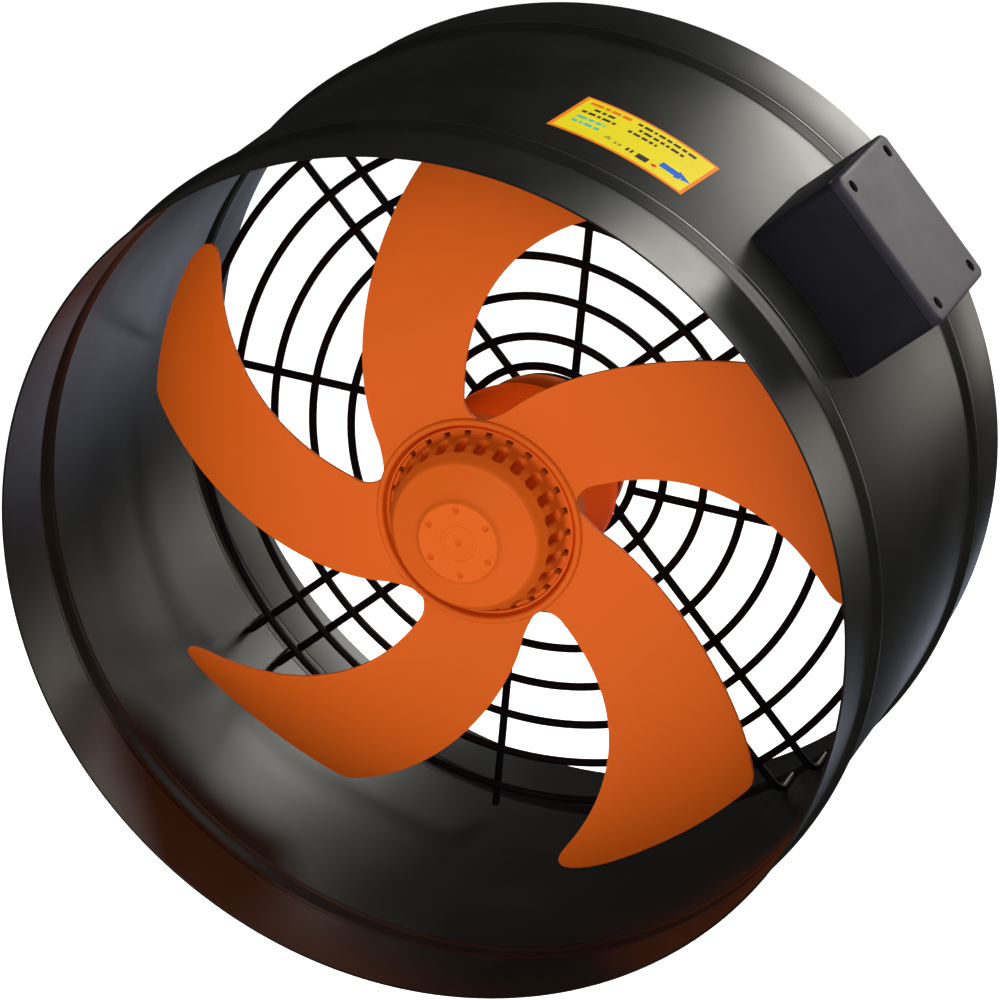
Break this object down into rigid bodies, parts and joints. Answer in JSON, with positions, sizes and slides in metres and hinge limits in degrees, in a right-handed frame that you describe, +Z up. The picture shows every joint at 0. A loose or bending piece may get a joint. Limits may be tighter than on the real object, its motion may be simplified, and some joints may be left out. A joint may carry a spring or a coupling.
{
  "type": "axial duct fan",
  "caption": "Inline axial duct fan: round steel duct, wire guard carrying an external rotor motor, orange sickle blades and a side terminal box.",
  "frame": {"origin": "centre of the inlet rim plane of the duct, on the fan axis", "axes": "+Y along the fan axis from the inlet rim to the outlet rim (air flow direction), +Z up, +X to the right seen from the inlet"},
  "size_m": [0.4691, 0.275, 0.4564],
  "materials": {
    "duct_paint": "satin black-green powder coat",
    "guard_wire": "black powder coat on drawn wire",
    "fan_paint": "orange powder coat",
    "zinc_plate": "zinc plated",
    "cast_aluminium": "as cast",
    "lamination_steel": "varnished laminations",
    "enamelled_copper": "enamelled winding",
    "polyester_film": "film",
    "bearing_steel": "ground",
    "spring_steel": "blued",
    "box_plastic": "dark moulded",
    "lid_plastic": "dark grey moulded",
    "black_screw": "black oxide",
    "seal_rubber": "soft black",
    "strip_plastic": "ivory moulded",
    "brass_screw": "turned",
    "capacitor_case": "white moulded",
    "gland_plastic": "black polyamide",
    "lead_sheath": "black sheath",
    "tie_nylon": "black nylon",
    "label_film": "yellow printed film"
  },
  "bodies": {
    "housing": {"duct_shell": "duct_paint", "guard_rings": "guard_wire", "guard_arms_upper_right": "guard_wire", "guard_arms_upper_left": "guard_wire", "guard_arms_lower_left": "guard_wire", "guard_arms_lower_right": "guard_wire", "guard_spokes": "guard_wire", "motor_mount_plate": "guard_wire", "motor_screws": "zinc_plate", "stator_flange": "fan_paint", "bearing_tube": "cast_aluminium", "stator_core": "lamination_steel", "winding_front": "enamelled_copper", "winding_rear": "enamelled_copper", "slot_insulation": "polyester_film", "front_bearing_outer_ring": "bearing_steel", "rear_bearing_outer_ring": "bearing_steel", "bearing_preload_washer": "spring_steel", "terminal_box": "box_plastic", "terminal_box_pad": "seal_rubber", "lid_gasket": "seal_rubber", "terminal_box_lid": "lid_plastic", "lid_screws": "black_screw", "box_screws": "zinc_plate", "box_nuts": "zinc_plate", "terminal_strip": "strip_plastic", "terminal_screws": "brass_screw", "run_capacitor": "capacitor_case", "capacitor_clip": "spring_steel", "cable_gland": "gland_plastic", "gland_nut": "gland_plastic", "gland_seal": "seal_rubber", "motor_lead": "lead_sheath", "lead_bushing": "seal_rubber", "lead_grommet": "seal_rubber", "lead_ties": "tie_nylon", "earth_screw": "brass_screw", "rating_label": "label_film"},
    "rotor": {"front_bearing_inner_ring": "bearing_steel", "rear_bearing_inner_ring": "bearing_steel", "shaft_circlip": "spring_steel", "motor_shaft": "bearing_steel", "rotor_can": "fan_paint", "rotor_laminations": "lamination_steel", "rotor_end_rings": "cast_aluminium", "impeller_ring": "fan_paint", "blade_1": "fan_paint", "blade_2": "fan_paint", "blade_3": "fan_paint", "blade_4": "fan_paint", "blade_5": "fan_paint"},
    "front_ball_cage": {"front_bearing_balls": "bearing_steel"},
    "rear_ball_cage": {"rear_bearing_balls": "bearing_steel"}
  },
  "joints": [
    {"name": "rotor_spin", "type": "hinge", "parent": "housing", "child": "rotor", "pos_m": [0, 0.1, 0], "axis": [0, 1, 0], "continuous": true},
    {"name": "front_cage_spin", "type": "hinge", "parent": "housing", "child": "front_ball_cage", "pos_m": [0, 0.1045, 0], "axis": [0, 1, 0], "continuous": true},
    {"name": "rear_cage_spin", "type": "hinge", "parent": "housing", "child": "rear_ball_cage", "pos_m": [0, 0.175, 0], "axis": [0, 1, 0], "continuous": true}
  ],
  "couplings": [
    {"joint": "front_cage_spin", "follows": "rotor_spin", "ratio": 0.368},
    {"joint": "rear_cage_spin", "follows": "rotor_spin", "ratio": 0.368}
  ]
}
